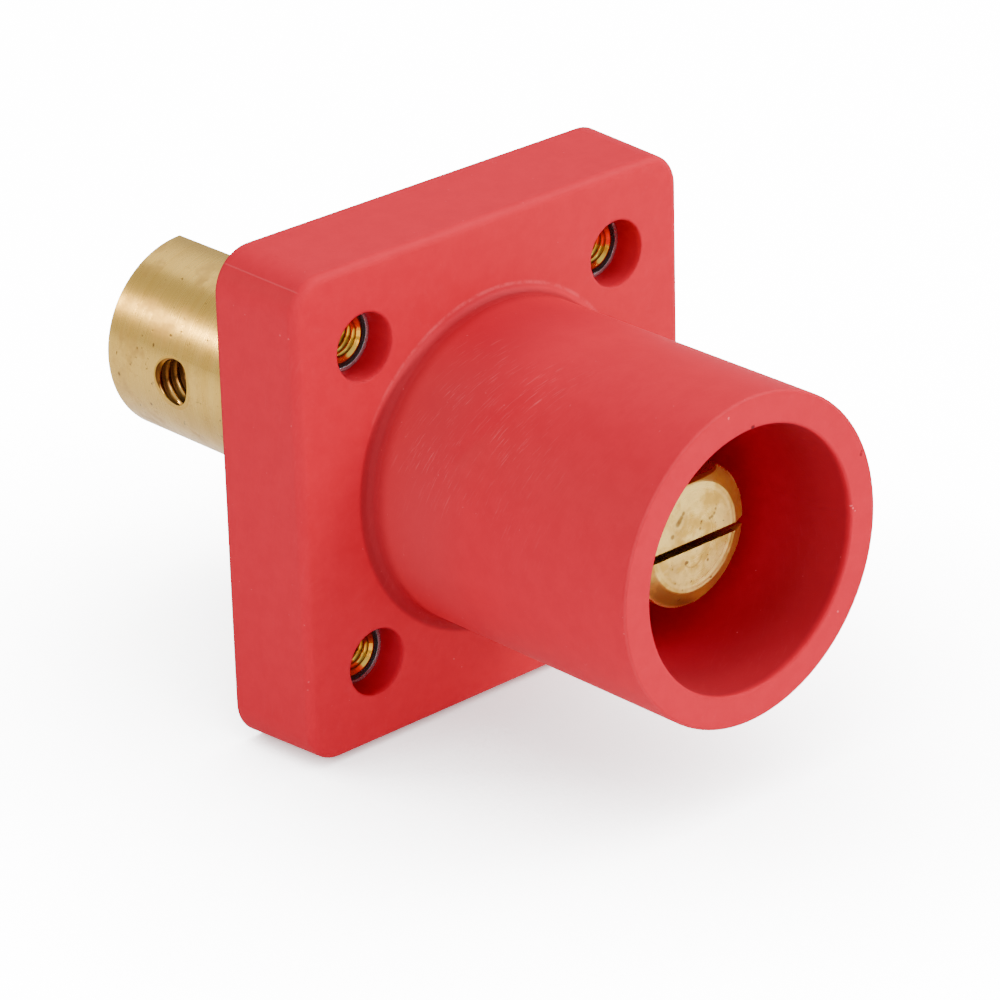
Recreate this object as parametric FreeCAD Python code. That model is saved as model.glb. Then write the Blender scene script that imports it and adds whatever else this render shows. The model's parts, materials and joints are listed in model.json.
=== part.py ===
import FreeCAD, Part
import math
import os
from FreeCAD import Matrix, Placement, Vector

# A receptacle for one pole of a heavy power cable, made to be screwed to a panel. A red moulded
# body, a thick square flange with a round sleeve, holds a turned brass contact on its axis.
#
# The origin is on the contact axis, in the plane of the flange's back, which lies on the panel.
# The sleeve and the pin point along -Y, the cable barrel along +Y, and +Z is up. All lengths are
# in millimetres and all angles in degrees.

# Flange of the moulded body
FLANGE_SIDE = 57.15              # square, measured on its back
FLANGE_THICKNESS = 11.8
FLANGE_CORNER_RADIUS = 4.65
FLANGE_DRAFT = 2.8               # its four sides lean in towards the front
FLANGE_FRONT_ROUND = 1.0

# Sleeve of the moulded body
SLEEVE_LENGTH = 38.75            # from the flange's face to the tip
SLEEVE_RADIUS = 18.5
SLEEVE_ROOT_COVE = 1.3           # radius of the soft inner corner on the flange's face
SLEEVE_ROOT_STEPS = 3            # short cones that make up the cove
SLEEVE_TIP_BEVEL = 0.2
MOUTH_RADIUS = 14.85             # at the tip; the cavity narrows from here to its floor
MOUTH_BEVEL = 0.15
CAVITY_FLOOR_RADIUS = 13.3

# Web inside the body, which the contact is pulled against from both sides
SEAT_DEPTH = 3.5                 # pocket for the barrel, sunk in the flange's back
WEB_THICKNESS = 4.5

# Pin of the contact
PIN_RADIUS = 8.02
PIN_RECESS = 8.45                # from the sleeve's tip back to the pin's end
NOSE_BEVEL_LENGTH = 0.85
NOSE_BEVEL_WIDTH = 1.9
SLOT_WIDTH = 0.95                # saw cut across the pin's end
SLOT_LENGTH = 24.0
SLOT_HEIGHT = -0.75              # its middle lies a little under the axis
NOTCH_WIDTH = 8.7                # way in for the key of the mating plug, on top of the nose
NOTCH_FLOOR_HEIGHT = 6.3         # from the axis up to its flat floor
NOTCH_CORNER_RADIUS = 1.0
CAM_LIP = 4.6                    # nose left in front of the cam groove
CAM_WIDTH = 7.2
CAM_TURN = 180.0                 # from the notch round to the lock
CAM_RISE = 2.4                   # how far the groove draws the plug in on the way

# Barrel of the contact, which takes the bared cable
BARREL_RADIUS = 11.72
BARREL_LENGTH = 41.45            # behind the flange's back
BARREL_END_BEVEL = 0.3
FLAT_HEIGHT = 9.3                # from the axis to the flat that stops the contact turning
FLAT_ANGLE = 54.0                # the way the flat faces, from +X towards +Z
CABLE_BORE_RADIUS = 7.14
CABLE_BORE_DEPTH = 29.4
CABLE_MOUTH_BEVEL = 1.0
SET_SCREW_RADIUS = 3.175         # at the roots of the thread
SET_SCREW_COUNT = 2
SET_SCREW_FROM_END = 11.75
SET_SCREW_SPACING = 12.7

# Washer and ring that hold the contact against the front of the web
WASHER_RADIUS = 11.0
WASHER_THICKNESS = 1.0
RING_THICKNESS = 1.1
RING_WIDTH = 1.9
RING_GROOVE_DEPTH = 0.6
RING_GAP = 6.0                   # opening that lets it spring over the pin

# Mounting holes, threaded inserts and the thin steel washers round them
HOLE_INSET = 10.175              # from the flange's edge to the middle of a hole
COUNTERBORE_RADIUS = 3.85
COUNTERBORE_DEPTH = 4.45
INSERT_RADIUS = 2.85
INSERT_HEIGHT = 0.7              # its front end stands this far above the counterbore's floor
INSERT_BACK_RECESS = 0.2
INSERT_THREAD_RADIUS = 2.41      # at the roots of the thread
INSERT_MOUTH_BEVEL = 0.3         # countersink of the front end
STEEL_WASHER_INNER_RADIUS = 3.4
STEEL_WASHER_THICKNESS = 0.8

# Gaps between pieces
SEAT_GAP = 0.12                  # barrel in the pocket of the body
PIN_GAP = 0.1                    # pin in the web and in its washer
RING_GROOVE_GAP = 0.05           # ring in its groove, along the axis
STEEL_WASHER_GAP = 0.05          # steel washer in its counterbore

# Places along the contact axis that follow from the sizes above
FACE_Y = -FLANGE_THICKNESS
TIP_Y = FACE_Y - SLEEVE_LENGTH
PIN_END_Y = TIP_Y + PIN_RECESS
SEAT_Y = -SEAT_DEPTH
FLOOR_Y = SEAT_Y - WEB_THICKNESS
WASHER_Y = FLOOR_Y - WASHER_THICKNESS
RING_Y = WASHER_Y - RING_THICKNESS
COUNTERBORE_Y = FACE_Y + COUNTERBORE_DEPTH
HOLE_OFFSET = FLANGE_SIDE / 2 - HOLE_INSET
BEYOND = 1.0                     # how far a cutting tool runs past the face that it opens

CORNERS = {
    "top_left": (-1, 1),
    "top_right": (1, 1),
    "bottom_left": (-1, -1),
    "bottom_right": (1, -1),
}

AXIS = Vector(0, 1, 0)
ORIGIN = Vector(0, 0, 0)


def rounded_wire(corners):
    """A closed outline through corners given as (point, radius), with each one rounded by an arc."""
    edges = []
    ends = []
    for i, (corner, radius) in enumerate(corners):
        if radius == 0:
            ends.append((corner, corner))
            continue
        to_last = (corners[i - 1][0] - corner).normalize()
        to_next = (corners[(i + 1) % len(corners)][0] - corner).normalize()
        half = to_last.getAngle(to_next) / 2
        start = corner + to_last * (radius / math.tan(half))
        end = corner + to_next * (radius / math.tan(half))
        inwards = (to_last + to_next).normalize()
        middle = corner + inwards * (radius / math.sin(half) - radius)
        edges.append(Part.Arc(start, middle, end).toShape())
        ends.append((start, end))
    for i in range(len(ends)):
        edges.append(Part.makeLine(ends[i - 1][1], ends[i][0]))
    return Part.Wire(Part.__sortEdges__(edges))


def turned(outline):
    """A solid of revolution about the contact axis, from (radius, y) corners."""
    corners = [Vector(radius, y, 0) for radius, y in outline]
    return Part.Face(Part.makePolygon(corners + corners[:1])).revolve(ORIGIN, AXIS, 360)


def rod(radius, y_from, y_to, x=0, z=0):
    """A cylinder along Y."""
    return Part.makeCylinder(radius, y_to - y_from, Vector(x, y_from, z), AXIS)


def rounded_square(side, radius, y):
    """A square outline with rounded corners, upright and centred on the contact axis."""
    half = side / 2
    signs = ((-1, -1), (1, -1), (1, 1), (-1, 1))
    return rounded_wire([(Vector(half * sx, y, half * sz), radius) for sx, sz in signs])


def edges_at(shape, y):
    """The edges of a shape that lie in the plane at y."""
    return [e for e in shape.Edges if abs(e.BoundBox.YMin - y) < 1e-4 and abs(e.BoundBox.YMax - y) < 1e-4]


def barrel_section(gap):
    """The D shaped section of the barrel as a face at y = 0, grown by a gap all round."""
    radius = BARREL_RADIUS + gap
    height = FLAT_HEIGHT + gap
    half_angle = math.acos(height / radius)
    middle = math.radians(FLAT_ANGLE)

    def on_circle(angle):
        return Vector(radius * math.cos(angle), 0, radius * math.sin(angle))

    first = on_circle(middle + half_angle)
    last = on_circle(middle - half_angle)
    round_side = Part.Arc(first, on_circle(middle + math.pi), last).toShape()
    return Part.Face(Part.Wire([round_side, Part.makeLine(last, first)]))


def flange():
    """The thick square flange, with drafted sides, rounded corners and softened edges."""
    inset = FLANGE_THICKNESS * math.tan(math.radians(FLANGE_DRAFT))
    back = rounded_square(FLANGE_SIDE, FLANGE_CORNER_RADIUS, 0)
    front = rounded_square(FLANGE_SIDE - 2 * inset, FLANGE_CORNER_RADIUS - inset, FACE_Y)
    block = Part.makeLoft([back, front], True, True)
    return block.makeFillet(FLANGE_FRONT_ROUND, edges_at(block, FACE_Y))


def sleeve():
    """The outside of the sleeve as a full round, with its coved root, from inside the flange."""
    cove = []
    for i in range(SLEEVE_ROOT_STEPS + 1):
        angle = math.pi / 2 * i / SLEEVE_ROOT_STEPS
        radius = SLEEVE_RADIUS + SLEEVE_ROOT_COVE * (1 - math.sin(angle))
        cove.append((radius, FACE_Y - SLEEVE_ROOT_COVE * (1 - math.cos(angle))))
    return turned([
        (0, SEAT_Y),
        (SLEEVE_RADIUS + SLEEVE_ROOT_COVE, SEAT_Y),
        *cove,
        (SLEEVE_RADIUS, TIP_Y + SLEEVE_TIP_BEVEL),
        (SLEEVE_RADIUS - SLEEVE_TIP_BEVEL, TIP_Y),
        (0, TIP_Y),
    ])


def cavity():
    """The tapered space inside the sleeve, from its bevelled mouth down to the web."""
    slope = (MOUTH_RADIUS - CAVITY_FLOOR_RADIUS) / (FLOOR_Y - TIP_Y)
    return turned([
        (0, FLOOR_Y),
        (CAVITY_FLOOR_RADIUS, FLOOR_Y),
        (MOUTH_RADIUS - slope * MOUTH_BEVEL, TIP_Y + MOUTH_BEVEL),
        (MOUTH_RADIUS + MOUTH_BEVEL + BEYOND, TIP_Y - BEYOND),
        (0, TIP_Y - BEYOND),
    ])


def mounting_hole(x, z):
    """One counterbore with the hole that the moulded-in insert fills behind it."""
    counterbore = rod(COUNTERBORE_RADIUS, FACE_Y - BEYOND, COUNTERBORE_Y, x, z)
    return counterbore.fuse(rod(INSERT_RADIUS, COUNTERBORE_Y, BEYOND, x, z))


def insulator_body():
    """The one-piece moulding: flange, sleeve, web, pocket for the barrel and four mounting holes."""
    body = flange().fuse(sleeve()).removeSplitter()
    body = body.cut(cavity())
    body = body.cut(rod(PIN_RADIUS + PIN_GAP, FLOOR_Y - BEYOND, BEYOND))
    pocket = barrel_section(SEAT_GAP).extrude(Vector(0, SEAT_DEPTH + BEYOND, 0))
    body = body.cut(pocket.translated(Vector(0, SEAT_Y, 0)))
    for sx, sz in CORNERS.values():
        body = body.cut(mounting_hole(sx * HOLE_OFFSET, sz * HOLE_OFFSET))
    return body


def mounting_insert(x, z):
    """One turned brass insert, drilled through and countersunk in front."""
    front = COUNTERBORE_Y - INSERT_HEIGHT
    insert = turned([
        (INSERT_THREAD_RADIUS, front + INSERT_MOUTH_BEVEL),
        (INSERT_THREAD_RADIUS + INSERT_MOUTH_BEVEL, front),
        (INSERT_RADIUS, front),
        (INSERT_RADIUS, -INSERT_BACK_RECESS),
        (INSERT_THREAD_RADIUS, -INSERT_BACK_RECESS),
    ])
    return insert.translated(Vector(x, 0, z))


def steel_washer(x, z):
    """The thin steel washer on the floor of a counterbore, round the end of the insert."""
    front = COUNTERBORE_Y - STEEL_WASHER_THICKNESS
    disc = rod(COUNTERBORE_RADIUS - STEEL_WASHER_GAP, front, COUNTERBORE_Y, x, z)
    return disc.cut(rod(STEEL_WASHER_INNER_RADIUS, front, COUNTERBORE_Y, x, z))


def pin():
    """The round pin with its bevelled nose and the groove for the retaining ring."""
    groove_front = RING_Y - RING_GROOVE_GAP
    groove_radius = PIN_RADIUS - RING_GROOVE_DEPTH
    return turned([
        (0, SEAT_Y),
        (PIN_RADIUS, SEAT_Y),
        (PIN_RADIUS, WASHER_Y),
        (groove_radius, WASHER_Y),
        (groove_radius, groove_front),
        (PIN_RADIUS, groove_front),
        (PIN_RADIUS, PIN_END_Y + NOSE_BEVEL_LENGTH),
        (PIN_RADIUS - NOSE_BEVEL_WIDTH, PIN_END_Y),
        (0, PIN_END_Y),
    ])


def saw_slot():
    """The thin cut that lets the end of the pin spring."""
    width = 2 * (PIN_RADIUS + BEYOND)
    corner = Vector(-width / 2, PIN_END_Y - BEYOND, SLOT_HEIGHT - SLOT_WIDTH / 2)
    return Part.makeBox(width, SLOT_LENGTH + BEYOND, SLOT_WIDTH, corner)


def key_notch():
    """The flat floored way through the top of the nose to the start of the cam groove."""
    half = NOTCH_WIDTH / 2
    top = PIN_RADIUS + BEYOND
    y = PIN_END_Y - BEYOND
    outline = rounded_wire([
        (Vector(-half, y, top), 0),
        (Vector(half, y, top), 0),
        (Vector(half, y, NOTCH_FLOOR_HEIGHT), NOTCH_CORNER_RADIUS),
        (Vector(-half, y, NOTCH_FLOOR_HEIGHT), NOTCH_CORNER_RADIUS),
    ])
    return Part.Face(outline).extrude(Vector(0, BEYOND + CAM_LIP + CAM_WIDTH / 2, 0))


def cam_groove():
    """The groove that winds back from the notch, over +X, to the lock: a helix with milled ends.

    It is swept about a local Z axis from local +X, then turned so that this axis is the contact's
    and the start is on top.
    """
    depth_middle = (NOTCH_FLOOR_HEIGHT + PIN_RADIUS + BEYOND) / 2
    half_depth = depth_middle - NOTCH_FLOOR_HEIGHT
    half_width = CAM_WIDTH / 2
    height = CAM_RISE
    path = Part.makeHelix(height * 360 / CAM_TURN, height, depth_middle)
    inner = depth_middle - half_depth
    outer = depth_middle + half_depth
    section = Part.makePolygon([
        Vector(inner, 0, -half_width),
        Vector(outer, 0, -half_width),
        Vector(outer, 0, half_width),
        Vector(inner, 0, half_width),
        Vector(inner, 0, -half_width),
    ])
    groove = path.makePipeShell([section], True, True)
    for turn, rise in ((0.0, 0.0), (math.radians(CAM_TURN), height)):
        out = Vector(math.cos(turn), math.sin(turn), 0)
        mill = Part.makeCylinder(half_width, 2 * half_depth, out * inner + Vector(0, 0, rise), out)
        groove = groove.fuse(mill)
    start_y = PIN_END_Y + CAM_LIP + half_width
    groove.Placement = Placement(Matrix(0, 1, 0, 0, 0, 0, 1, start_y, 1, 0, 0, 0, 0, 0, 0, 1))
    return groove


def barrel():
    """The cable barrel with its flat, from the pocket in the flange to its bevelled end."""
    length = SEAT_DEPTH + BARREL_LENGTH
    blank = barrel_section(0).extrude(Vector(0, length, 0)).translated(Vector(0, SEAT_Y, 0))
    envelope = turned([
        (0, SEAT_Y),
        (BARREL_RADIUS, SEAT_Y),
        (BARREL_RADIUS, BARREL_LENGTH - BARREL_END_BEVEL),
        (BARREL_RADIUS - BARREL_END_BEVEL, BARREL_LENGTH),
        (0, BARREL_LENGTH),
    ])
    return blank.common(envelope)


def cable_bore():
    """The flat bottomed bore for the cable, with its bevelled mouth."""
    bottom = BARREL_LENGTH - CABLE_BORE_DEPTH
    return turned([
        (0, bottom),
        (CABLE_BORE_RADIUS, bottom),
        (CABLE_BORE_RADIUS, BARREL_LENGTH - CABLE_MOUTH_BEVEL),
        (CABLE_BORE_RADIUS + CABLE_MOUTH_BEVEL + BEYOND, BARREL_LENGTH + BEYOND),
        (0, BARREL_LENGTH + BEYOND),
    ])


def set_screw_holes():
    """The row of tapped holes on the -X side of the barrel, open into the cable bore."""
    holes = []
    for i in range(SET_SCREW_COUNT):
        y = BARREL_LENGTH - SET_SCREW_FROM_END - i * SET_SCREW_SPACING
        mouth = Vector(-BARREL_RADIUS - BEYOND, y, 0)
        holes.append(Part.makeCylinder(SET_SCREW_RADIUS, BARREL_RADIUS + BEYOND, mouth, Vector(1, 0, 0)))
    return holes


def brass_contact():
    """The contact, turned and milled from one bar: slotted cam pin in front, barrel behind."""
    contact = barrel().fuse(pin()).removeSplitter()
    for tool in [cable_bore(), key_notch(), cam_groove(), saw_slot()] + set_screw_holes():
        contact = contact.cut(tool)
    return contact


def contact_washer():
    """The steel washer between the web and the retaining ring."""
    return rod(WASHER_RADIUS, WASHER_Y, FLOOR_Y).cut(rod(PIN_RADIUS + PIN_GAP, WASHER_Y, FLOOR_Y))


def retaining_ring():
    """The open spring steel ring in the pin's groove, with its gap at the bottom."""
    inner = PIN_RADIUS - RING_GROOVE_DEPTH
    outer = inner + RING_WIDTH
    ring = rod(outer, RING_Y, WASHER_Y).cut(rod(inner, RING_Y, WASHER_Y))
    return ring.cut(Part.makeBox(RING_GAP, RING_THICKNESS, outer, Vector(-RING_GAP / 2, RING_Y, -outer)))


def pieces():
    """Every piece of the receptacle, by name."""
    made = {
        "insulator_body": insulator_body(),
        "brass_contact": brass_contact(),
        "contact_washer": contact_washer(),
        "retaining_ring": retaining_ring(),
    }
    for corner, (sx, sz) in CORNERS.items():
        x = sx * HOLE_OFFSET
        z = sz * HOLE_OFFSET
        made["mounting_insert_" + corner] = mounting_insert(x, z)
        made["insert_washer_" + corner] = steel_washer(x, z)
    return made


os.makedirs("parts", exist_ok=True)
for name, shape in pieces().items():
    shape.exportStep("parts/" + name + ".step")
    print(name, "valid" if shape.isValid() else "NOT VALID", len(shape.Solids), round(shape.Volume, 1))
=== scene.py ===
import json
import math

import bmesh
import bpy
import numpy as np
from mathutils import Matrix, Vector


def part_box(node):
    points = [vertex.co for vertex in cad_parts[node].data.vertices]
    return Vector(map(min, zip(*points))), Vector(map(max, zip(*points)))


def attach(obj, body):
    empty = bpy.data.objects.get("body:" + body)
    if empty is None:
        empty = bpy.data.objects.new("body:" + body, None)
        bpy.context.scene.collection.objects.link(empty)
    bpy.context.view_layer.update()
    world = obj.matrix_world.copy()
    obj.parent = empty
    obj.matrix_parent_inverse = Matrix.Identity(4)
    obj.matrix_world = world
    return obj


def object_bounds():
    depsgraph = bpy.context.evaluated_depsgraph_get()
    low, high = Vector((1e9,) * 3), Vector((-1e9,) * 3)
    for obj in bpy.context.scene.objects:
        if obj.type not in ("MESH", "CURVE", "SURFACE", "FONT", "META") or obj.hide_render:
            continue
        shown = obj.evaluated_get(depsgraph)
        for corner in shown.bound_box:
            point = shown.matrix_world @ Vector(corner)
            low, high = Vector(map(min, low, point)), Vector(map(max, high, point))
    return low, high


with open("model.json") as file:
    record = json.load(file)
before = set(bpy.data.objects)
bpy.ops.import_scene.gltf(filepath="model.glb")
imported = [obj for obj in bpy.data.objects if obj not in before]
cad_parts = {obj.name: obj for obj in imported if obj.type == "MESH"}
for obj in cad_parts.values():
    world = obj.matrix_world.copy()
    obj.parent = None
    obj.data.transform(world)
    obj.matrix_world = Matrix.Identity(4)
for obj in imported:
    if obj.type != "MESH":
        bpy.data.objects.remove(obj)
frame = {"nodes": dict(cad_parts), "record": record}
cad_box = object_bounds()

MM = 0.001
mounts = {mount["name"]: mount for mount in frame["record"]["mounts"]}

# Viewpoint of the photograph: from the front left and above, with a long lens, so that the square
# flange shows its face, its left side and its top, and the sleeve points down to the right.
VIEW_TARGET = Vector((-18.781, -32.657, 7.470)) * MM
VIEW_AZIMUTH = math.radians(-42.315)
VIEW_ELEVATION = math.radians(24.356)
VIEW_ROLL = math.radians(-1.573)
VIEW_DISTANCE = 501.17 * MM
VIEW_LENS = 175.3                # mm, on a sensor 36 mm wide

back = Vector((math.sin(VIEW_AZIMUTH) * math.cos(VIEW_ELEVATION),
               -math.cos(VIEW_AZIMUTH) * math.cos(VIEW_ELEVATION),
               math.sin(VIEW_ELEVATION)))
level = Vector((0, 0, 1)).cross(back).normalized()
upright = back.cross(level)
right = math.cos(VIEW_ROLL) * level + math.sin(VIEW_ROLL) * upright
up = math.cos(VIEW_ROLL) * upright - math.sin(VIEW_ROLL) * level
camera = bpy.data.objects.new("photo_camera", bpy.data.cameras.new("photo_camera"))
camera.matrix_world = Matrix.Translation(VIEW_TARGET + back * VIEW_DISTANCE) @ Matrix(
    (right, up, back)).transposed().to_4x4()
camera.data.sensor_width = 36
camera.data.lens = VIEW_LENS
camera.data.clip_start = 0.05
camera.data.clip_end = 20
bpy.context.scene.collection.objects.link(camera)
bpy.context.scene.camera = camera


# Floor and light: a white sheet, lit from within so that only a soft shade shows where the flange's
# lower edge stands on it. The room is an even pale grey. Four large soft lights stand at the upper
# right, in front, on the left and behind, and a narrow one draws the bright line along the barrel.
FLOOR_DROP = 0.02 * MM
FLOOR_HALF = 1.2
FLOOR_GLOW = 14.12               # where the camera sees it unshaded
FLOOR_SHINE = 0.0085             # share of that glow which falls on the connector
FLOOR_SHADE_REACH = 60 * MM      # how far the soft shade spreads from where the flange stands
FLOOR_SHADE_DEPTH = 2.0          # how fast it darkens towards there
PAPER = (0.90, 0.90, 0.90, 1)
PAPER_PALE = (0.93, 0.93, 0.93, 1)
ROOM_COLOUR = (1.0, 1.0, 1.0, 1)
ROOM_STRENGTH = 0.74
WARM_LINE = (1.0, 0.86, 0.60)    # colour of the narrow light


class Signal:
    """A value or colour on its way through a material's nodes. Arithmetic on signals and numbers
    adds the Math node that works it out."""

    def __init__(self, finish, socket):
        self.finish = finish
        self.socket = socket

    def __add__(self, other):
        return self.finish.maths("ADD", self, other)

    def __sub__(self, other):
        return self.finish.maths("SUBTRACT", self, other)

    def __rsub__(self, other):
        return self.finish.maths("SUBTRACT", other, self)

    def __mul__(self, other):
        return self.finish.maths("MULTIPLY", self, other)

    def __pow__(self, other):
        return self.finish.maths("POWER", self, other)

    __radd__ = __add__
    __rmul__ = __mul__


class Finish:
    """A material that is built up node by node."""

    def __init__(self, name):
        self.material = bpy.data.materials.new(name)
        self.material.use_nodes = True
        self.tree = self.material.node_tree
        self.tree.nodes.clear()

    def node(self, kind, settings={}, sockets={}, output=0):
        """Adds one node. Its settings come first, then the values or links of its sockets."""
        node = self.tree.nodes.new("ShaderNode" + kind)
        for name, value in settings.items():
            setattr(node, name, value)
        for name, value in sockets.items():
            if isinstance(value, Signal):
                self.tree.links.new(value.socket, node.inputs[name])
            else:
                node.inputs[name].default_value = value
        return Signal(self, node.outputs[output])

    def maths(self, operation, *values):
        """A Math node on signals and numbers."""
        return self.node("Math", {"operation": operation}, dict(enumerate(values)))

    def between(self, value, low, high):
        """0 where the value is at low, 1 where it is at high, with a smooth step in between."""
        return self.node("MapRange", {"interpolation_type": "SMOOTHSTEP"},
                         {"Value": value, "From Min": low, "From Max": high})

    def mix(self, factor, first, second):
        """A colour between two colours, by a factor."""
        return self.node("Mix", {"data_type": "RGBA"}, {0: factor, 6: first, 7: second}, output=2)

    def point(self):
        """The place on the surface, in the frame that all the pieces share."""
        return self.node("TexCoord", output=3)

    def parts(self, point):
        """The x, the y and the z of a point."""
        return [self.node("SeparateXYZ", {}, {"Vector": point}, output=i) for i in range(3)]

    def noise(self, point, scale, detail, roughness=0.5):
        """Clouds or specks in space, between 0 and 1."""
        return self.node("TexNoise", {}, {
            "Vector": point, "Scale": scale, "Detail": detail, "Roughness": roughness})

    def tool_marks(self, along, scale, detail):
        """Noise that changes along one value only, like the lines that a lathe's tool leaves."""
        return self.node("TexNoise", {"noise_dimensions": "1D"}, {
            "W": along, "Scale": scale, "Detail": detail})

    def bump(self, height, strength, depth, edge=None):
        """The normal of a surface with relief, on which a height of 1 stands for depth metres.
        Where edge is given, sharp edges look rounded over that distance."""
        sockets = {"Height": height, "Strength": strength, "Distance": depth}
        if edge:
            sockets["Normal"] = self.node("Bevel", {"samples": 4}, {"Radius": edge})
        return self.node("Bump", {}, sockets)

    def surface(self, sockets):
        """Ends the material with a Principled surface, its sockets filled by their names."""
        shader = self.node("BsdfPrincipled", {}, sockets)
        output = self.tree.nodes.new("ShaderNodeOutputMaterial")
        self.tree.links.new(shader.socket, output.inputs["Surface"])
        return self.material


floor_z = cad_box[0][2] - FLOOR_DROP
mesh = bpy.data.meshes.new("floor")
mesh.from_pydata([(-FLOOR_HALF, -FLOOR_HALF, floor_z), (FLOOR_HALF, -FLOOR_HALF, floor_z),
                  (FLOOR_HALF, FLOOR_HALF, floor_z), (-FLOOR_HALF, FLOOR_HALF, floor_z)],
                 [], [(0, 1, 2, 3)])
floor = bpy.data.objects.new("floor", mesh)
bpy.context.scene.collection.objects.link(floor)
paper = Finish("white_paper")
grain = paper.noise(paper.point(), 900.0, 3.0)
in_view = paper.node("LightPath")
shade = paper.node("AmbientOcclusion", {"samples": 4}, {"Distance": FLOOR_SHADE_REACH}, output=1)
floor.data.materials.append(paper.surface({
    "Base Color": paper.mix(grain, PAPER, PAPER_PALE), "Roughness": 0.7,
    "Emission Color": in_view * (1 - FLOOR_SHINE) * shade ** FLOOR_SHADE_DEPTH + FLOOR_SHINE,
    "Emission Strength": FLOOR_GLOW}))

world = bpy.data.worlds.new("studio")
world.use_nodes = True
world.node_tree.nodes["Background"].inputs["Color"].default_value = ROOM_COLOUR
world.node_tree.nodes["Background"].inputs["Strength"].default_value = ROOM_STRENGTH
bpy.context.scene.world = world


def soft_light(name, azimuth, elevation, distance, size, power, colour=(1, 1, 1), on_matt=True):
    """A square area light that looks at the connector from a direction given in degrees. Without
    on_matt it shows in shiny surfaces only."""
    a, e = math.radians(azimuth), math.radians(elevation)
    away = Vector((math.sin(a) * math.cos(e), -math.cos(a) * math.cos(e), math.sin(e)))
    light = bpy.data.lights.new(name, "AREA")
    light.size = size
    light.energy = power
    light.color = colour
    lamp = bpy.data.objects.new(name, light)
    lamp.location = VIEW_TARGET + away * distance
    lamp.rotation_mode = "QUATERNION"
    lamp.rotation_quaternion = away.to_track_quat("Z", "Y")
    lamp.visible_diffuse = on_matt
    bpy.context.scene.collection.objects.link(lamp)


soft_light("key_light", 58, 43, 0.8, 0.45, 6.8)
soft_light("front_light", 15, 15, 1.0, 0.6, 2.0)
soft_light("left_light", -62, 28, 1.0, 0.6, 4.2)
soft_light("line_light", -138, 24, 0.9, 0.03, 2.6, WARM_LINE, on_matt=False)
soft_light("top_light", 165, 50, 1.0, 0.5, 1.0)


# Moulded body: one block of red thermoplastic, flange and sleeve together. It has a fine matt skin
# from the mould, with a faint parting line over two corners of the flange. Handling has left short
# pale scuffs round the upper left of the sleeve and a few nicks in its rim.
RED = (0.65, 0.007, 0.028, 1)
RED_DEEP = (0.62, 0.005, 0.025, 1)
RED_SHADE = (0.22, 0.003, 0.008, 1)     # painted shade in the cove between the sleeve and the flange; two dark nicks use it too
RED_HOLLOW_SHADE = (0.23, 0.009, 0.015, 1)   # painted shade inside the sleeve's mouth and the counterbores
RED_SHEEN = (0.57, 0.029, 0.046, 1)    # painted sheen on the sleeve's left side, near its root
RED_UPPER = (0.48, 0.004, 0.022, 1)    # the top of the sleeve, near its root
# pale for the scuffs, specks, parting line and some nicks, and for the painted highlights along the
# cove's edge and the sleeve's end
RED_SCUFF_AND_HIGHLIGHT = (0.86, 0.13, 0.15, 1)
SHADOWED = (0.03, 0.002, 0.002, 1)
GAP_SHADE = (0.10, 0.014, 0.010, 1)    # painted shade at the bottom of the counterbores, round the inserts

# How strongly each of these shows over the red, from 0 to 1.
ROOT_SHEEN_STRENGTH = 0.8
COVE_SHADE_STRENGTH = 0.7
HOLLOW_SHADE_STRENGTH = 0.7
CREASE_HIGHLIGHT_STRENGTH = 0.24
SCUFF_STRENGTH = 0.42
SPECK_STRENGTH = 0.35
SEAM_STRENGTH = 0.22
LIP_HIGHLIGHT_STRENGTH = 0.10
NICK_STRENGTH = 0.8
COUNTERBORE_SHADE_STRENGTH = 0.35
GAP_SHADE_STRENGTH = 0.9

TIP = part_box("insulator_body")[0][1]  # where the sleeve ends
FLANGE_FRONT = -11.8 * MM
SLEEVE_RADIUS = 18.5 * MM
COVE_EDGE = 1.15 * MM            # how far outside the sleeve the cove meets the flange
MOUTH_RADIUS = 14.85 * MM        # of the sleeve's cavity at its tip
COUNTERBORE_RADIUS = 3.85 * MM
HOLE_OFFSET = mounts["panel_screws"]["dims"]["spacing_x_mm"] / 2 * MM
EDGE_SOFTNESS = 0.45 * MM        # over which the plastic's edges look rounded
RED_GRAIN_DEPTH = 0.08 * MM
RIM_NICKS = [                    # on the sleeve's end: x, z and radius in mm, and the colour
    (0.16, 15.05, 0.35, SHADOWED), (16.31, 6.81, 0.28, RED_SHADE), (16.45, 7.25, 0.18, RED_SHADE),
    (14.95, 1.45, 0.16, RED_SCUFF_AND_HIGHLIGHT), (15.15, 1.05, 0.16, RED_SCUFF_AND_HIGHLIGHT),
    (15.45, 0.65, 0.16, RED_SCUFF_AND_HIGHLIGHT), (15.75, 0.32, 0.14, RED_SCUFF_AND_HIGHLIGHT),
    (12.9, -10.2, 0.16, RED_SCUFF_AND_HIGHLIGHT), (-3.4, 17.2, 0.14, RED_SCUFF_AND_HIGHLIGHT),
]


def from_axis(across, along):
    """Distance from an axis: the root of the sum of the squares of the two distances from it
    at right angles to each other."""
    return (across * across + along * along) ** 0.5


def spot(finish, u, v, mark, core, ragged):
    """1 within core of the radius of a round mark, 0 outside it. The mark is given as u, v and
    radius in mm, and ragged moves its edge to and fro."""
    mark_u, mark_v, size = mark
    away = from_axis(u - mark_u * MM, v - mark_v * MM) + ragged
    return finish.between(away, size * MM, size * MM * core)


def from_mounting_hole(finish, x, z):
    """Distance from the axis of the nearest mounting hole. The four holes lie at the same distance
    to each side of the contact's axis, above it and below it."""
    return from_axis(finish.maths("ABSOLUTE", x) - HOLE_OFFSET,
                     finish.maths("ABSOLUTE", z) - HOLE_OFFSET)


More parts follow.
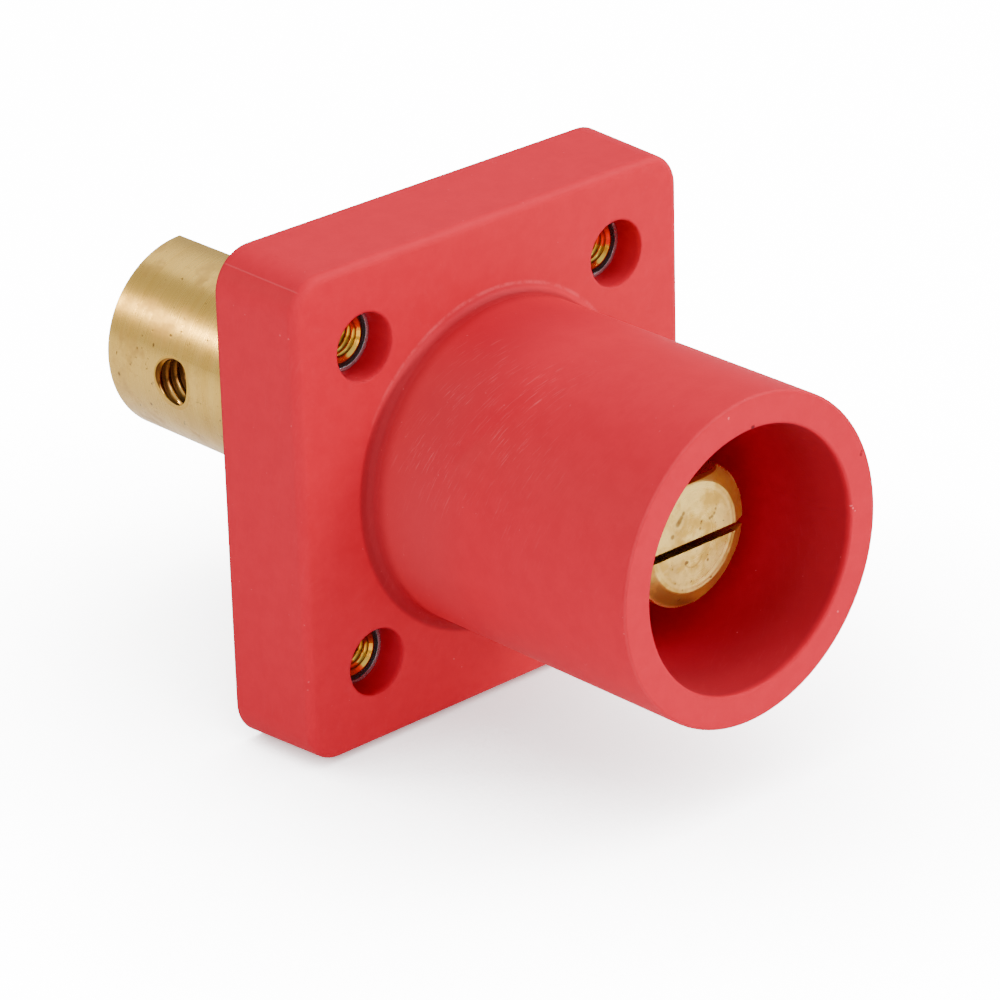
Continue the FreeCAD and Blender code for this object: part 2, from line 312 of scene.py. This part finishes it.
def red_moulding():
    """Red plastic with faint mottling and a fine moulded grain. Painted shade darkens the cove, the
    sleeve's mouth, the counterbores and the gap round each insert, and a painted sheen lies on the
    sleeve near its root. Over it lie painted highlights along the cove's upper left edge and the
    sleeve's end, short scuffs round the sleeve, specks, the parting line and the nicks."""
    red = Finish("red_moulding_finish")
    point = red.point()
    x, y, z = red.parts(point)
    radius = from_axis(x, z)
    angle = red.maths("ARCTAN2", z, x * -1.0)  # 0 on the left, a quarter turn on top
    outside = red.between(radius, SLEEVE_RADIUS - 0.6 * MM, SLEEVE_RADIUS - 0.2 * MM)
    not_behind = red.between(y, FLANGE_FRONT + 6.5 * MM, FLANGE_FRONT + 5.5 * MM)
    mottle = red.noise(point, 420.0, 5.0, 0.7)
    speck = red.noise(point, 1700.0, 1.0)
    skin = red.noise(point, 2300.0, 3.0)
    colour = red.mix(red.between(mottle, 0.35, 0.65), RED_DEEP, RED)

    # The sleeve near its root, with a painted sheen on the left and deeper on top.
    near_root = (red.between(y, FLANGE_FRONT - 17.0 * MM, FLANGE_FRONT - 6.0 * MM)
                 * red.between(radius, SLEEVE_RADIUS + 1.6 * MM, SLEEVE_RADIUS + 0.8 * MM)
                 * red.between(angle, -0.9, -0.3) * red.between(angle, 2.2, 1.6)
                 * outside * not_behind)
    root_sheen_and_deep = red.mix(red.between(angle, 0.75, 1.30), RED_SHEEN, RED_UPPER)
    colour = red.mix(near_root * ROOT_SHEEN_STRENGTH, colour, root_sheen_and_deep)

    # Painted shade in the cove, which widens towards the lower left, and a painted highlight along
    # its upper left edge.
    lean = red.between(x * -1.0 - z * 0.8, -6.0 * MM, 15.0 * MM)
    rise = radius - (SLEEVE_RADIUS + lean * MM)
    cove_shade = (red.between(y, FLANGE_FRONT - 3.0 * MM, FLANGE_FRONT - 0.2 * MM)
            * red.between(rise, 0.7 * MM, 0.1 * MM) * outside * not_behind)
    colour = red.mix(cove_shade * COVE_SHADE_STRENGTH, colour, RED_SHADE)
    from_edge = red.maths("ABSOLUTE", radius - (SLEEVE_RADIUS + COVE_EDGE + lean * 0.5 * MM))
    crease_highlight = (red.between(from_edge, 0.32 * MM, 0.05 * MM) * red.between(mottle, 0.35, 0.60)
              * red.between(y, FLANGE_FRONT - 0.3 * MM, FLANGE_FRONT - 0.1 * MM)
              * red.between(angle, 0.30, 0.75) * not_behind)

    # Painted shade inside the mouth of the sleeve.
    hollow_shade = (red.between(radius, MOUTH_RADIUS + 0.2 * MM, MOUTH_RADIUS)
              * red.between(y, TIP, TIP + 1.0 * MM)
              * red.between(y, TIP + 15.0 * MM, TIP + 5.0 * MM))
    colour = red.mix(hollow_shade * HOLLOW_SHADE_STRENGTH, colour, RED_HOLLOW_SHADE)
    # The painted highlight along the cove's edge.
    colour = red.mix(crease_highlight * CREASE_HIGHLIGHT_STRENGTH, colour, RED_SCUFF_AND_HIGHLIGHT)

    # Scuffs: noise stretched round the sleeve, slightly on the slant, and gathered in patches.
    round_way = angle * SLEEVE_RADIUS
    strokes = red.node("CombineXYZ", {}, {
        "X": round_way * 420.0, "Y": (y + round_way * 0.35) * 3900.0, "Z": radius * 600.0})
    scratch = red.noise(strokes, 1.0, 3.0, 0.7)
    patch = red.noise(point, 160.0, 3.0)
    gathered = (red.between(y, FLANGE_FRONT - 1.0 * MM, FLANGE_FRONT - 6.0 * MM)
                * red.between(y, FLANGE_FRONT - 30.0 * MM, FLANGE_FRONT - 17.0 * MM)
                * red.between(angle, 0.0, 0.45) * red.between(angle, 1.45, 0.95) * outside)
    scuff = (red.between(scratch, 0.54, 0.72) * (red.between(patch, 0.38, 0.62) * 0.7 + 0.3)
             * (gathered * 0.9 + 0.1))
    colour = red.mix(scuff * SCUFF_STRENGTH, colour, RED_SCUFF_AND_HIGHLIGHT)
    colour = red.mix(red.between(speck, 0.77, 0.83) * SPECK_STRENGTH, colour, RED_SCUFF_AND_HIGHLIGHT)

    # The parting line, over the flange's upper left and lower right corners.
    corner = (red.between(radius, 36.0 * MM, 37.0 * MM)
              * red.between(y, FLANGE_FRONT + 0.3 * MM, FLANGE_FRONT + 0.9 * MM))
    seam = red.between(red.maths("ABSOLUTE", x + z), 0.17 * MM, 0.07 * MM) * corner
    colour = red.mix(seam * SEAM_STRENGTH, colour, RED_SCUFF_AND_HIGHLIGHT)

    # The sleeve's end, with a painted highlight along its outer edge, and the nicks.
    end = red.between(y, TIP + 0.30 * MM, TIP + 0.05 * MM)
    lip = end * red.between(radius, SLEEVE_RADIUS - 0.30 * MM, SLEEVE_RADIUS - 0.12 * MM)
    colour = red.mix(lip * LIP_HIGHLIGHT_STRENGTH, colour, RED_SCUFF_AND_HIGHLIGHT)
    ragged = (speck - 0.5) * 0.5 * MM
    for *mark, shade in RIM_NICKS:
        nick = spot(red, x, z, mark, 0.4, ragged)
        colour = red.mix(nick * end * NICK_STRENGTH, colour, shade)

    # Painted shade in the counterbores, and in the gap round each insert.
    from_hole = from_mounting_hole(red, x, z)
    counterbore_shade = (red.between(from_hole, COUNTERBORE_RADIUS + 0.25 * MM,
                               COUNTERBORE_RADIUS + 0.05 * MM)
                   * red.between(y, FLANGE_FRONT + 0.1 * MM, FLANGE_FRONT + 0.9 * MM)
                   * not_behind)
    colour = red.mix(counterbore_shade * COUNTERBORE_SHADE_STRENGTH, colour, RED_HOLLOW_SHADE)
    # Painted shade in the gap round each insert.
    gap_shade = (red.between(from_hole, COUNTERBORE_RADIUS + 0.05 * MM, COUNTERBORE_RADIUS - 0.35 * MM)
             * red.between(y, FLANGE_FRONT + 2.6 * MM, FLANGE_FRONT + 4.3 * MM) * not_behind)
    colour = red.mix(gap_shade * GAP_SHADE_STRENGTH, colour, GAP_SHADE)

    height = skin * 0.5 + mottle * 0.3 + scuff * 0.3 + seam * 0.8
    return red.surface({
        "Base Color": colour, "Roughness": mottle * 0.10 + 0.52 + scuff * 0.15,
        "Normal": red.bump(height, 0.25, RED_GRAIN_DEPTH, EDGE_SOFTNESS),
        "IOR": 1.5, "Specular IOR Level": 0.12})


body = frame["nodes"]["insulator_body"]
body.material_slots[0].material = red_moulding()


# Contact: one bar of brass, turned on a lathe and milled. Rings from the tool run round the barrel
# and the pin and across both ends, and handling has darkened it in blotches and along the bevels.
BRASS = (0.66, 0.385, 0.062, 1)
BRASS_PALE = (1.0, 0.70, 0.21, 1)
BRASS_DULL = (0.38, 0.19, 0.045, 1)
# dark marks, and the painted shade under the barrel
BRASS_MARK_AND_SHADE = (0.24, 0.11, 0.02, 1)
BRASS_STAIN = (0.62, 0.24, 0.025, 1)
# pits, marks and the dark lower left of the pin's bevel, and the painted shade in and round the set
# screw holes
BRASS_BURNT_AND_SHADE = (0.10, 0.03, 0.01, 1)

# How strongly each of these shows over the brass, from 0 to 1.
FACE_CLOUD_STRENGTH = 0.9
PIT_STRENGTH = 0.8
MARK_STRENGTH = 0.8
CHUCK_STRENGTH = 0.5
LOWER_LEFT_DARK_STRENGTH = 0.6
GLINT_STRENGTH = 0.6
FACE_LIP_STRENGTH = 0.35
WALL_SHADE_STRENGTH = 0.9
UNDER_SHADE_STRENGTH = 0.75

contact_low, contact_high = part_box("brass_contact")
PIN_TIP = contact_low[1]
BARREL_TIP = contact_high[1]
barrel_radius = contact_high[0]
PIN_RADIUS = mounts["contact_pin"]["dims"]["r_mm"] * MM
PIN_FLAT_RADIUS = 6.12 * MM      # of the pin's flat end, inside its bevel
PIN_LIP_RADIUS = 5.55 * MM       # of a fine raised line on that end
SET_SCREW_ROOT = mounts["set_screw_hole_rear"]["dims"]["r_mm"] * MM
set_screw_y = {which: mounts["set_screw_hole_" + which]["pos_m"][1]
               for which in ("rear", "front")}
BRASS_SOFTNESS = 0.12 * MM       # over which the brass edges look rounded
BRASS_GRAIN_DEPTH = 0.05 * MM
CHUCK_MARK = (-0.25, -1.95, 1.36)  # a faint half circle on the pin's end: x, z and radius in mm
PIN_MARKS = [                    # on the pin's flat end: x, z and radius in mm
    (-2.45, 2.30, 0.46), (-2.15, 2.55, 0.42), (-1.90, 2.85, 0.36), (-1.60, 3.25, 0.28),
    (0.96, 1.35, 0.34), (0.85, 0.75, 0.28), (2.25, 1.50, 0.30), (2.60, 1.58, 0.30),
    (2.92, 1.85, 0.28), (3.12, 2.30, 0.24), (3.25, 2.75, 0.20), (-3.17, 1.10, 0.30),
    (-2.96, -4.39, 0.22), (-1.90, -5.50, 0.16), (-3.30, -2.60, 0.20), (1.90, -3.20, 0.16),
]
BARREL_MARKS = [                 # on the barrel: y and z and radius in mm
    (39.47, -1.71, 0.32), (34.6, -4.2, 0.30), (33.9, -4.6, 0.22), (38.6, 2.9, 0.24),
    (36.0, 2.5, 0.20),
]


def from_set_screw_hole(finish, y, z):
    """Distance from the axis of the nearer set screw hole, which runs sideways into the barrel."""
    return finish.maths("MINIMUM", *[from_axis(y - hole_y, z) for hole_y in set_screw_y.values()])


def contact_brass():
    """Turned brass: fine rings by place along the axis, or by distance from it on the two ends,
    dull blotches, dark pits and marks, and an orange stain round the bevel of the pin's end, darker
    at its lower left and with a painted highlight on its outer edge. Painted shade darkens the
    walls of the set screw holes and the underside of the barrel."""
    brass = Finish("contact_brass_finish")
    point = brass.point()
    x, y, z = brass.parts(point)
    radius = from_axis(x, z)
    pin_end = brass.between(y, PIN_TIP + 0.10 * MM, PIN_TIP + 0.02 * MM)
    barrel_end = brass.between(y, BARREL_TIP - 0.10 * MM, BARREL_TIP - 0.02 * MM)
    faced = pin_end + barrel_end
    along = y * (1 - faced) + radius * faced
    rings = brass.tool_marks(along, 5200.0, 3.0)
    bands = brass.tool_marks(along, 600.0, 2.0)
    blotch = brass.noise(point, 170.0, 6.0, 0.65)
    cloud = brass.noise(point, 420.0, 4.0, 0.6)
    speck = brass.noise(point, 1250.0, 2.0)
    ragged = (cloud - 0.5) * 0.9 * MM

    colour = brass.mix(bands * 0.3 + rings * 0.15 + pin_end * 0.6, BRASS, BRASS_PALE)
    face_cloud = pin_end * brass.between(cloud, 0.42, 0.60)
    colour = brass.mix(face_cloud * FACE_CLOUD_STRENGTH, colour, BRASS)
    dull = brass.between(blotch, 0.50, 0.72) * 0.55 + brass.between(cloud, 0.56, 0.72) * 0.30
    colour = brass.mix(dull, colour, BRASS_DULL)
    pits = brass.between(speck, 0.68, 0.76)
    colour = brass.mix(pits * PIT_STRENGTH, colour, BRASS_BURNT_AND_SHADE)

    # Small dark marks on the pin's end and on the left of the barrel, and the chuck's half circle.
    for mark in PIN_MARKS:
        dent = spot(brass, x, z, mark, 0.2, ragged) * pin_end
        colour = brass.mix(dent * MARK_STRENGTH, colour, BRASS_MARK_AND_SHADE)
    left = brass.between(x, -9.0 * MM, -10.0 * MM)
    for mark in BARREL_MARKS:
        dent = spot(brass, y, z, mark, 0.2, ragged) * left
        colour = brass.mix(dent * MARK_STRENGTH, colour, BRASS_BURNT_AND_SHADE)
    mark_x, mark_z, size = CHUCK_MARK
    from_circle = brass.maths("ABSOLUTE", from_axis(x - mark_x * MM, z - mark_z * MM) - size * MM)
    chuck = (brass.between(from_circle, 0.16 * MM, 0.03 * MM) * pin_end
             * brass.between(z, -1.9 * MM, -2.7 * MM))
    colour = brass.mix(chuck * CHUCK_STRENGTH, colour, BRASS_DULL)

    # The bevel of the pin's end: stained, darker at the lower left, with a painted highlight on its
    # outer edge.
    bevel = (brass.between(radius, PIN_FLAT_RADIUS - 0.1 * MM, PIN_FLAT_RADIUS + 0.3 * MM)
             * brass.between(radius, PIN_RADIUS, PIN_RADIUS - 0.5 * MM)
             * brass.between(y, PIN_TIP + 1.1 * MM, PIN_TIP + 0.8 * MM))
    stained = bevel * (brass.between(cloud, 0.38, 0.60) * 0.6 + 0.35)
    colour = brass.mix(stained, colour, BRASS_STAIN)
    # Darker at the lower left of the bevel, in blotches.
    lower_left_dark = (bevel * brass.between(x * -0.6 - z * 0.8, 5.0 * MM, 6.8 * MM)
             * brass.between(blotch, 0.30, 0.50))
    colour = brass.mix(lower_left_dark * LOWER_LEFT_DARK_STRENGTH, colour, BRASS_BURNT_AND_SHADE)
    # Painted highlight on the bevel's outer edge.
    glint = (brass.between(radius, PIN_RADIUS - 0.30 * MM, PIN_RADIUS - 0.12 * MM)
            * brass.between(y, PIN_TIP + 1.2 * MM, PIN_TIP + 0.9 * MM))
    colour = brass.mix(glint * GLINT_STRENGTH, colour, BRASS_PALE)
    from_lip = brass.maths("ABSOLUTE", radius - PIN_LIP_RADIUS)
    lip = brass.between(from_lip, 0.30 * MM, 0.05 * MM) * pin_end
    colour = brass.mix(lip * FACE_LIP_STRENGTH, colour, BRASS_PALE)

    # Painted shade on the walls of the set screw holes, and under the barrel.
    wall_shade = (brass.between(from_set_screw_hole(brass, y, z), SET_SCREW_ROOT + 0.06 * MM,
                          SET_SCREW_ROOT + 0.02 * MM)
            * brass.between(radius, barrel_radius - 0.03 * MM, barrel_radius - 0.12 * MM) * left)
    colour = brass.mix(wall_shade * WALL_SHADE_STRENGTH, colour, BRASS_BURNT_AND_SHADE)
    # Painted shade under the barrel, near the flange.
    under_shade = brass.between(z, -7.0 * MM, -10.7 * MM) * brass.between(y, 36.0 * MM, 14.0 * MM)
    colour = brass.mix(under_shade * UNDER_SHADE_STRENGTH, colour, BRASS_MARK_AND_SHADE)

    height = (rings * 0.35 + bands * 0.4 + blotch * 0.5 + cloud * (0.4 + pin_end * 0.8)
              - pits * 0.6 + lip * 0.5)
    return brass.surface({
        "Base Color": colour, "Metallic": 1 - stained * 0.35,
        "Roughness": rings * 0.10 + 0.21 + pin_end * 0.02 + dull * 0.25 + stained * 0.1,
        "Normal": brass.bump(height, 0.40, BRASS_GRAIN_DEPTH, BRASS_SOFTNESS)})


contact = frame["nodes"]["brass_contact"]
contact.material_slots[0].material = contact_brass()


# Threads of the two set screw holes: 1/4 inch, 20 to the inch, tapped straight through the wall of
# the barrel. The holes are empty, so their turns are in view.
THREAD_STEPS = 48                # places per turn
THREAD_PROFILE = 13              # points across the profile of a turn
THREAD_BURIED = 0.05 * MM        # how deep the back of the coil lies inside the wall
THREAD_WELD = 1e-7               # points nearer than this are one point
THREAD_SHARP = math.radians(35)  # edges above this angle are shaded sharp


def thread(name, root, crest, pitch, place, mouth, bottom, lead=2.0):
    """An internal thread as a closed coil. Round the hole by angle a, and across the profile by
    s from 0 to 1, a point lies at the depth pitch * (a / one turn + s), and its radius goes from
    root to crest and back with the square of the sine of half a turn times s, as a worn thread
    does. Points above mouth(radius, a) or below bottom(radius, a) are cut off: they come to lie on
    that surface, no nearer to the axis than where the profile meets it. place turns (radius,
    angle, depth) into points, and lead is how many turns start above the mouth."""
    whole_turn = np.arange(THREAD_STEPS) * 2 * np.pi / THREAD_STEPS
    shallow = mouth(root, whole_turn).min() - lead * pitch
    deep = bottom(root, whole_turn).max() + pitch
    count = int(math.ceil((deep - shallow) / pitch * THREAD_STEPS)) + 1
    angle = (np.arange(count) * 2 * np.pi / THREAD_STEPS)[:, None]
    s = np.linspace(0, 1, THREAD_PROFILE)
    profile = root - (root - crest) * np.sin(np.pi * s) ** 2
    radius = np.broadcast_to(profile, (count, len(s))).copy()
    depth = shallow + pitch * (angle / (2 * np.pi) + s)
    for limit, sign in ((mouth, 1), (bottom, -1)):
        surface = limit(radius, angle)
        gone = (depth - surface) * sign < 0
        order = slice(None) if sign > 0 else slice(None, None, -1)
        g = gone[:, order]
        r = radius[:, order]
        gap = np.abs((depth - surface)[:, order])
        last = np.where(g, np.arange(len(s)), -1).max(axis=1)
        i = np.clip(last, 0, len(s) - 2)
        rows = np.arange(count)
        t = gap[rows, i] / np.maximum(gap[rows, i] + gap[rows, i + 1], 1e-12)
        meet = r[rows, i] + (r[rows, i + 1] - r[rows, i]) * t
        meet = np.where(last >= len(s) - 1, root, meet)
        cut = np.maximum(radius, meet[:, None])
        radius = np.where(gone, cut, radius)
        depth = np.where(gone, limit(radius, angle), depth)
    radius = np.hstack([radius, np.full((count, 2), root + THREAD_BURIED)])
    depth = np.hstack([depth, depth[:, -1:], depth[:, :1]])
    points = place(radius, np.broadcast_to(angle, radius.shape), depth).reshape(-1, 3)
    width = radius.shape[1]
    row = np.arange(count - 1)[:, None] * width
    column = np.arange(width)[None, :]
    following = (column + 1) % width
    faces = np.stack([row + column, row + following, row + width + following, row + width + column],
                     axis=-1).reshape(-1, 4)
    ends = [list(range(width))[::-1], list(range((count - 1) * width, count * width))]
    coil = bmesh.new()
    verts = [coil.verts.new(p) for p in points.tolist()]
    for face in faces.tolist() + ends:
        coil.faces.new([verts[i] for i in face])
    bmesh.ops.remove_doubles(coil, verts=coil.verts, dist=THREAD_WELD)
    bmesh.ops.dissolve_degenerate(coil, edges=coil.edges, dist=THREAD_WELD)
    bmesh.ops.recalc_face_normals(coil, faces=coil.faces)
    mesh = bpy.data.meshes.new(name)
    coil.to_mesh(mesh)
    coil.free()
    mesh.shade_smooth()
    mesh.set_sharp_from_angle(angle=THREAD_SHARP)
    piece = bpy.data.objects.new(name, mesh)
    bpy.context.scene.collection.objects.link(piece)
    return piece


SET_SCREW_CREST = 2.55 * MM
SET_SCREW_PITCH = 1.27 * MM
SET_SCREW_LEAD = 2.13            # turns above the mouth, which sets where the first crest shows
cable_radius = mounts["cable_bore"]["dims"]["r_mm"] * MM

AMBER = (0.46, 0.16, 0.012, 1)
AMBER_BRIGHT = (0.62, 0.27, 0.03, 1)
AMBER_HIGHLIGHT = (1.0, 0.60, 0.16, 1)   # painted highlight on the lower ends of the turns
# painted shade in the grooves of the turns
GROOVE_SHADE = (0.07, 0.02, 0.005, 1)


def tapped_brass():
    """Freshly cut brass of the tapped turns: amber, with a painted highlight low down and painted
    shade in the grooves and on the side towards the barrel's end, and like the barrel where the
    first turn runs out in its surface."""
    amber = Finish("tapped_brass_finish")
    point = amber.point()
    x, y, z = amber.parts(point)
    cloud = amber.noise(point, 900.0, 3.0)
    groove = amber.between(from_set_screw_hole(amber, y, z), SET_SCREW_CREST + 0.05 * MM,
                           SET_SCREW_ROOT - 0.1 * MM)
    colour = amber.mix(cloud, AMBER, AMBER_BRIGHT)
    # Painted highlight on the lower ends of the turns.
    colour = amber.mix(amber.between(z, 0.0, -2.4 * MM) * 0.8, colour, AMBER_HIGHLIGHT)
    # Painted shade on the side of each hole towards the barrel's end.
    for hole_y in set_screw_y.values():
        far_side_shade = (amber.between(y, hole_y + 1.6 * MM, hole_y + 2.5 * MM)
                    * amber.between(y, hole_y + 4.0 * MM, hole_y + 3.5 * MM))
        colour = amber.mix(far_side_shade * 0.85, colour, BRASS_BURNT_AND_SHADE)
    # Painted shade in the grooves.
    colour = amber.mix(groove * 0.9, colour, GROOVE_SHADE)
    outermost = amber.between(from_axis(x, z), barrel_radius - 0.10 * MM, barrel_radius - 0.03 * MM)
    colour = amber.mix(outermost, colour, BRASS)
    return amber.surface({
        "Base Color": colour, "Metallic": 1.0, "Roughness": cloud * 0.1 + 0.10 + groove * 0.25,
        "Normal": amber.bump(cloud, 0.3, 0.04 * MM)})


thread_brass = tapped_brass()
for which, hole_y in set_screw_y.items():
    piece = thread(
        "set_screw_thread_" + which, SET_SCREW_ROOT, SET_SCREW_CREST, SET_SCREW_PITCH,
        lambda r, a, d: np.stack([d, hole_y + r * np.cos(a), r * np.sin(a)], axis=-1),
        lambda r, a: -np.sqrt(barrel_radius ** 2 - (r * np.sin(a)) ** 2),
        lambda r, a: -np.sqrt(cable_radius ** 2 - (r * np.sin(a)) ** 2), SET_SCREW_LEAD)
    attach(piece, "root")
    piece.data.materials.append(thread_brass)


# Mounting inserts: four short brass bushes, turned, tapped and moulded into the flange. They are
# bright and golden, and each shows its rim, its countersink and the first turns of its thread.
INSERT_ROOT = mounts["panel_screws"]["dims"]["hole_r_mm"] * MM
INSERT_CREST = 2.02 * MM
INSERT_PITCH = 0.794 * MM
INSERT_COUNTERSINK = 0.3 * MM
INSERT_RIM = 2.85 * MM
INSERT_MOUTH = FLANGE_FRONT + 4.0 * MM  # just inside the countersinks, where the threads begin

GOLD = (0.90, 0.42, 0.03, 1)
GOLD_STAINED = (0.62, 0.20, 0.01, 1)
# painted highlight on the lower side of each insert
GOLD_GLINT = (1.0, 0.68, 0.12, 1)
GOLD_SHADED = (0.07, 0.018, 0.006, 1)


def insert_brass():
    """Bright brass with rings by place along the axis, an amber stain and a painted highlight on
    its lower side. Painted shade darkens the grooves, and the insert's side where it stands in the
    shadow of the counterbore."""
    gold = Finish("insert_brass_finish")
    point = gold.point()
    x, y, z = gold.parts(point)
    rings = gold.tool_marks(y, 7000.0, 2.0)
    stain = gold.noise(point, 520.0, 3.0)
    across = x - gold.maths("SIGN", x) * HOLE_OFFSET
    above = z - gold.maths("SIGN", z) * HOLE_OFFSET
    from_hole = from_axis(across, above)
    colour = gold.mix(gold.between(stain, 0.42, 0.66), GOLD, GOLD_STAINED)
    # Painted highlight on the lower side round each hole.
    glint = gold.between(across * -0.3 - above, 0.3 * MM, 1.8 * MM)
    colour = gold.mix(glint * 0.85, colour, GOLD_GLINT)
    # Painted shade in the grooves, and on the insert's side.
    groove = (gold.between(from_hole, INSERT_CREST + 0.06 * MM, INSERT_ROOT - 0.08 * MM)
              * gold.between(y, INSERT_MOUTH, INSERT_MOUTH + 0.2 * MM))
    side = gold.between(from_hole, INSERT_RIM - 0.06 * MM, INSERT_RIM - 0.02 * MM)
    colour = gold.mix(groove * 0.8 + side * 0.9, colour, GOLD_SHADED)
    return gold.surface({
        "Base Color": colour, "Metallic": 1.0, "Roughness": rings * 0.08 + 0.10,
        "Normal": gold.bump(rings * 0.5 + stain * 0.5, 0.3, 0.03 * MM)})


bright_brass = insert_brass()
for corner in ("top_left", "top_right", "bottom_left", "bottom_right"):
    insert = frame["nodes"]["mounting_insert_" + corner]
    insert.material_slots[0].material = bright_brass
    low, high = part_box("mounting_insert_" + corner)
    hole_x = (low[0] + high[0]) / 2
    hole_z = (low[2] + high[2]) / 2
    rim = low[1]
    foot = high[1]
    piece = thread(
        "insert_thread_" + corner, INSERT_ROOT, INSERT_CREST, INSERT_PITCH,
        lambda r, a, d: np.stack([hole_x + r * np.cos(a), d, hole_z - r * np.sin(a)], axis=-1),
        lambda r, a: rim + INSERT_COUNTERSINK + INSERT_ROOT - r + 0 * a,
        lambda r, a: foot - 0.02 * MM + 0 * r + 0 * a)
    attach(piece, "root")
    piece.data.materials.append(bright_brass)


# Insert washers: thin zinc plated steel rings at the bottom of the counterbores, and the wider one
# of the same steel between the body's web and the ring that holds the contact.
WASHER_HOLE = 3.4 * MM           # radius of the insert washers' holes
WASHER_SOFTNESS = 0.15 * MM      # over which the washers' edges look rounded
ZINC = (0.60, 0.60, 0.65, 1)
ZINC_BRIGHT = (0.78, 0.79, 0.84, 1)


def plated_steel():
    """Zinc plate: a bright grey metal with cloudy patches, a fine grain and rounded edges, with
    painted shade inside the narrow gap between an insert and its washer."""
    steel = Finish("plated_steel_finish")
    point = steel.point()
    x, y, z = steel.parts(point)
    cloud = steel.noise(point, 450.0, 3.0)
    # Painted shade in the gap between the insert and the washer.
    gap_shade = steel.between(from_mounting_hole(steel, x, z), WASHER_HOLE + 0.10 * MM,
                          WASHER_HOLE + 0.03 * MM)
    colour = steel.mix(gap_shade * 0.5, steel.mix(cloud, ZINC, ZINC_BRIGHT), GAP_SHADE)
    return steel.surface({
        "Base Color": colour, "Metallic": 0.85, "Roughness": cloud * 0.12 + 0.20,
        "Normal": steel.bump(cloud, 0.2, 0.03 * MM, WASHER_SOFTNESS)})


zinc = plated_steel()
for name, node in frame["nodes"].items():
    if "washer" in name:
        node.material_slots[0].material = zinc


# Retaining ring: an open spring steel ring, snapped into the pin's groove. It is stamped, then
# blackened with phosphate and oil.
PHOSPHATE = (0.035, 0.035, 0.040, 1)
PHOSPHATE_PALE = (0.11, 0.11, 0.12, 1)


def spring_steel():
    """Phosphated steel: near black, grainy and half matt."""
    steel = Finish("spring_steel_finish")
    grain = steel.noise(steel.point(), 3000.0, 4.0)
    return steel.surface({
        "Base Color": steel.mix(grain, PHOSPHATE, PHOSPHATE_PALE), "Metallic": 0.9,
        "Roughness": grain * 0.2 + 0.35, "Normal": steel.bump(grain, 0.3, 0.03 * MM)})


frame["nodes"]["retaining_ring"].material_slots[0].material = spring_steel()
